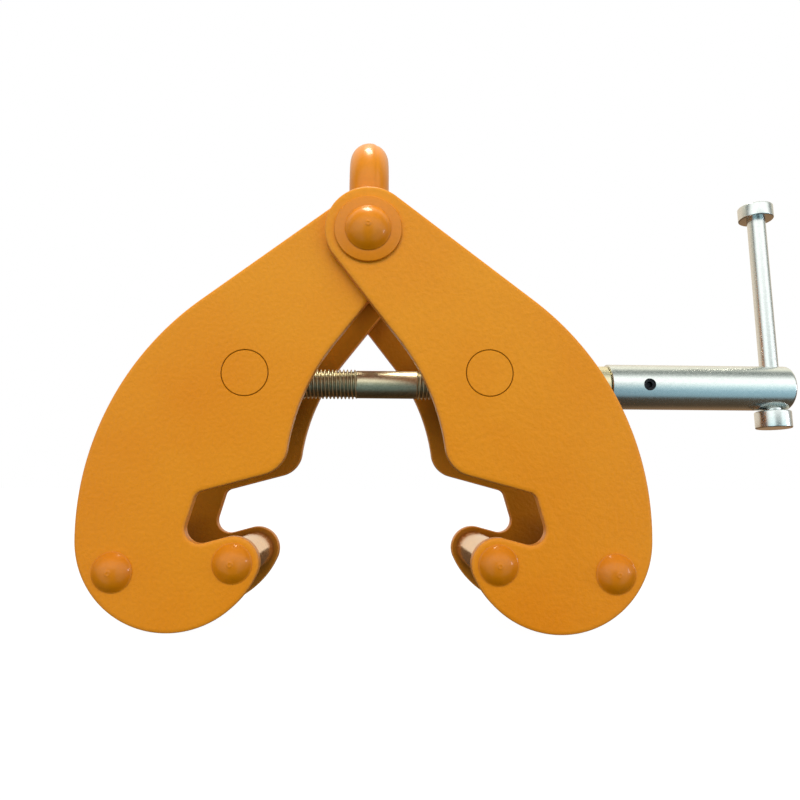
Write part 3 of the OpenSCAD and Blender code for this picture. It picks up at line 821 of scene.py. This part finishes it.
def room_light():
    """The room as a ramp over the angle atan2(up, front), darker to the two sides."""
    world = bpy.data.worlds.new("room")
    bpy.context.scene.world = world
    world.use_nodes = True
    tree = world.node_tree
    tree.nodes.clear()
    way = add(tree, "ShaderNodeTexCoord").outputs["Generated"]
    part = add(tree, "ShaderNodeSeparateXYZ", wires={0: way})
    front = add(tree, "ShaderNodeMath", {1: -1.0}, {0: part.outputs["Y"]}, operation="MULTIPLY")
    turn = add(tree, "ShaderNodeMath", wires={0: part.outputs["Z"], 1: front.outputs[0]}, operation="ARCTAN2")
    place = add(tree, "ShaderNodeMapRange", {"From Min": -np.pi, "From Max": np.pi}, {"Value": turn.outputs[0]})
    ramp = add(tree, "ShaderNodeValToRGB", wires={0: place.outputs[0]})
    # The bench below, the blue sky low in the window, its white middle, the ceiling, the rear wall.
    stops = [(-180, "#98785a"), (-110, "#463a2c"), (-60, "#4a443a"), (-52, "#82a0ac"), (-20, "#90b2c0"),
             (-2, "#c4e0e6"), (10, "#ecfafa"), (24, "#ffffff"), (46, "#f4f8f6"), (58, "#a4aaa6"),
             (78, "#686e6a"), (88, "#8e9490"), (104, "#e4e4d4"), (150, "#c8bcac"), (180, "#ccc0b0")]
    while len(ramp.color_ramp.elements) < len(stops):
        ramp.color_ramp.elements.new(0.5)
    for element, (degrees, code) in zip(ramp.color_ramp.elements, stops):
        element.position, element.color = (degrees + 180) / 360, linear(code)
    # The far ends of the room are dimmer, and whoever stands by the clamp is a dark shape in it.
    sideways = add(tree, "ShaderNodeMath", wires={0: part.outputs["X"]}, operation="ABSOLUTE")
    far = add(tree, "ShaderNodeMapRange", {"From Min": 0.70, "From Max": 1.0, "To Min": 1.0, "To Max": 0.5},
              {"Value": sideways.outputs[0]}, interpolation_type="SMOOTHSTEP")
    beside = add(tree, "ShaderNodeMapRange", {"From Min": 0.22, "From Max": 0.42},
                 {"Value": sideways.outputs[0]})
    above = add(tree, "ShaderNodeMapRange", {"From Min": 0.10, "From Max": 0.38}, {"Value": turn.outputs[0]})
    clear = add(tree, "ShaderNodeMath", wires={0: beside.outputs[0], 1: above.outputs[0]}, operation="MAXIMUM")
    onlooker = add(tree, "ShaderNodeMapRange", {"To Min": 0.25}, {"Value": clear.outputs[0]})
    shade = add(tree, "ShaderNodeMath", wires={0: far.outputs[0], 1: onlooker.outputs[0]}, operation="MULTIPLY")
    glow = add(tree, "ShaderNodeMath", {1: 1.55}, {0: shade.outputs[0]}, operation="MULTIPLY")
    # The camera itself sees plain white, and only light and reflections see the room.
    seen = add(tree, "ShaderNodeBackground", wires={"Color": ramp.outputs[0], "Strength": glow.outputs[0]})
    plain = add(tree, "ShaderNodeBackground", {"Color": linear("#ffffff"), "Strength": 1.0})
    ray = add(tree, "ShaderNodeLightPath")
    both = add(tree, "ShaderNodeMixShader",
               wires={0: ray.outputs["Is Camera Ray"], 1: seen.outputs[0], 2: plain.outputs[0]})
    add(tree, "ShaderNodeOutputWorld", wires={"Surface": both.outputs[0]})
    print("room: a ramp of", len(stops), "stops")


def panel(name, place, target, width, height, watts, code, mirrored=True):
    """A rectangular lamp at a place, facing a target; mirrored says whether shiny parts show it."""
    data = bpy.data.lights.new(name, "AREA")
    data.shape, data.size, data.size_y, data.energy = "RECTANGLE", width, height, watts
    data.color = linear(code)[:3]
    lamp = place_object(name, data)
    lamp.location = place
    lamp.rotation_euler = (Vector(target) - Vector(place)).to_track_quat("-Z", "Y").to_euler()
    lamp.visible_camera, lamp.visible_glossy = False, mirrored
    print(name, watts, "W")


room_light()
panel("front_softbox", (-0.25, -1.35, 0.75), (0.0, 0.0, -0.15), 1.0, 0.8, 7.5, "#fff4e6", mirrored=False)
panel("ceiling_lamp", (-0.03, 0.05, 1.0), (0.0, 0.0, 0.0), 0.26, 0.40, 7.0, "#fff6e4")
panel("side_window", (1.35, -0.50, -0.12), (0.0, 0.0, -0.2), 0.14, 0.26, 1.6, "#f2f0ff")

# %% [markdown]
# ## The floor
# The clamp stands on plain white paper. Paper lit by lamps would also show the lamps' falloff,
# so most of its white is its own glow, and the little that it scatters gives a faint shadow.

# %% Floor
floor_z = cad_low[2]
floor_mesh = bpy.data.meshes.new("floor")
corners = [(-6, -6, floor_z), (6, -6, floor_z), (6, 6, floor_z), (-6, 6, floor_z)]
floor_mesh.from_pydata(corners, [], [(0, 1, 2, 3)])
floor = place_object("floor", floor_mesh)
# White paper: no highlight, and an even white from every side.
paper, _, shader, _ = new_material("white_floor")
shader.inputs["Base Color"].default_value = linear("#3c3c3c")
shader.inputs["Roughness"].default_value = 0.9
shader.inputs["Emission Color"].default_value = linear("#ffffff")
shader.inputs["Emission Strength"].default_value = 0.97
floor_mesh.materials.append(paper)
floor.visible_glossy = floor.visible_diffuse = False
floor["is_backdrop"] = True
print("floor at z =", round(floor_z, 4), "m")

# %% [markdown]
# ## The camera
# The camera stands half a metre off, a little below the clamp's middle, and looks slightly up. It
# is that close because a near view spreads the jaws: the plates' inner faces come into sight. Its
# direction is given by three angles, which are easier to adjust than a matrix.

# %% Camera
camera_data = bpy.data.cameras.new("camera")
camera = place_object("camera", camera_data)
bpy.context.scene.camera = camera
camera_data.lens, camera_data.sensor_width = 30.61, 36.0
camera_data.clip_start, camera_data.clip_end = 0.01, 50.0
yaw, pitch, roll = np.radians([2.187, 6.787, 0.273])
forward = np.array([np.sin(yaw) * np.cos(pitch), np.cos(yaw) * np.cos(pitch), np.sin(pitch)])
right = np.array([np.cos(yaw), -np.sin(yaw), 0])
up = np.cross(right, forward)
across = np.cos(roll) * right + np.sin(roll) * up
upward = -np.sin(roll) * right + np.cos(roll) * up
turn = Matrix(np.stack([across, upward, -forward], 1).tolist()).to_4x4()
camera.matrix_world = Matrix.Translation((0.0046, -0.4542, -0.2048)) @ turn
bpy.context.scene.view_settings.view_transform = "Standard"
print("camera looks along", forward.round(3))

# %% [markdown]
# ## The CAD box
# The finished pieces must fill the same box as the CAD model, and the CAD model's box is printed
# at the end.

# %% Finish
print("CAD box:", cad_low, cad_high)
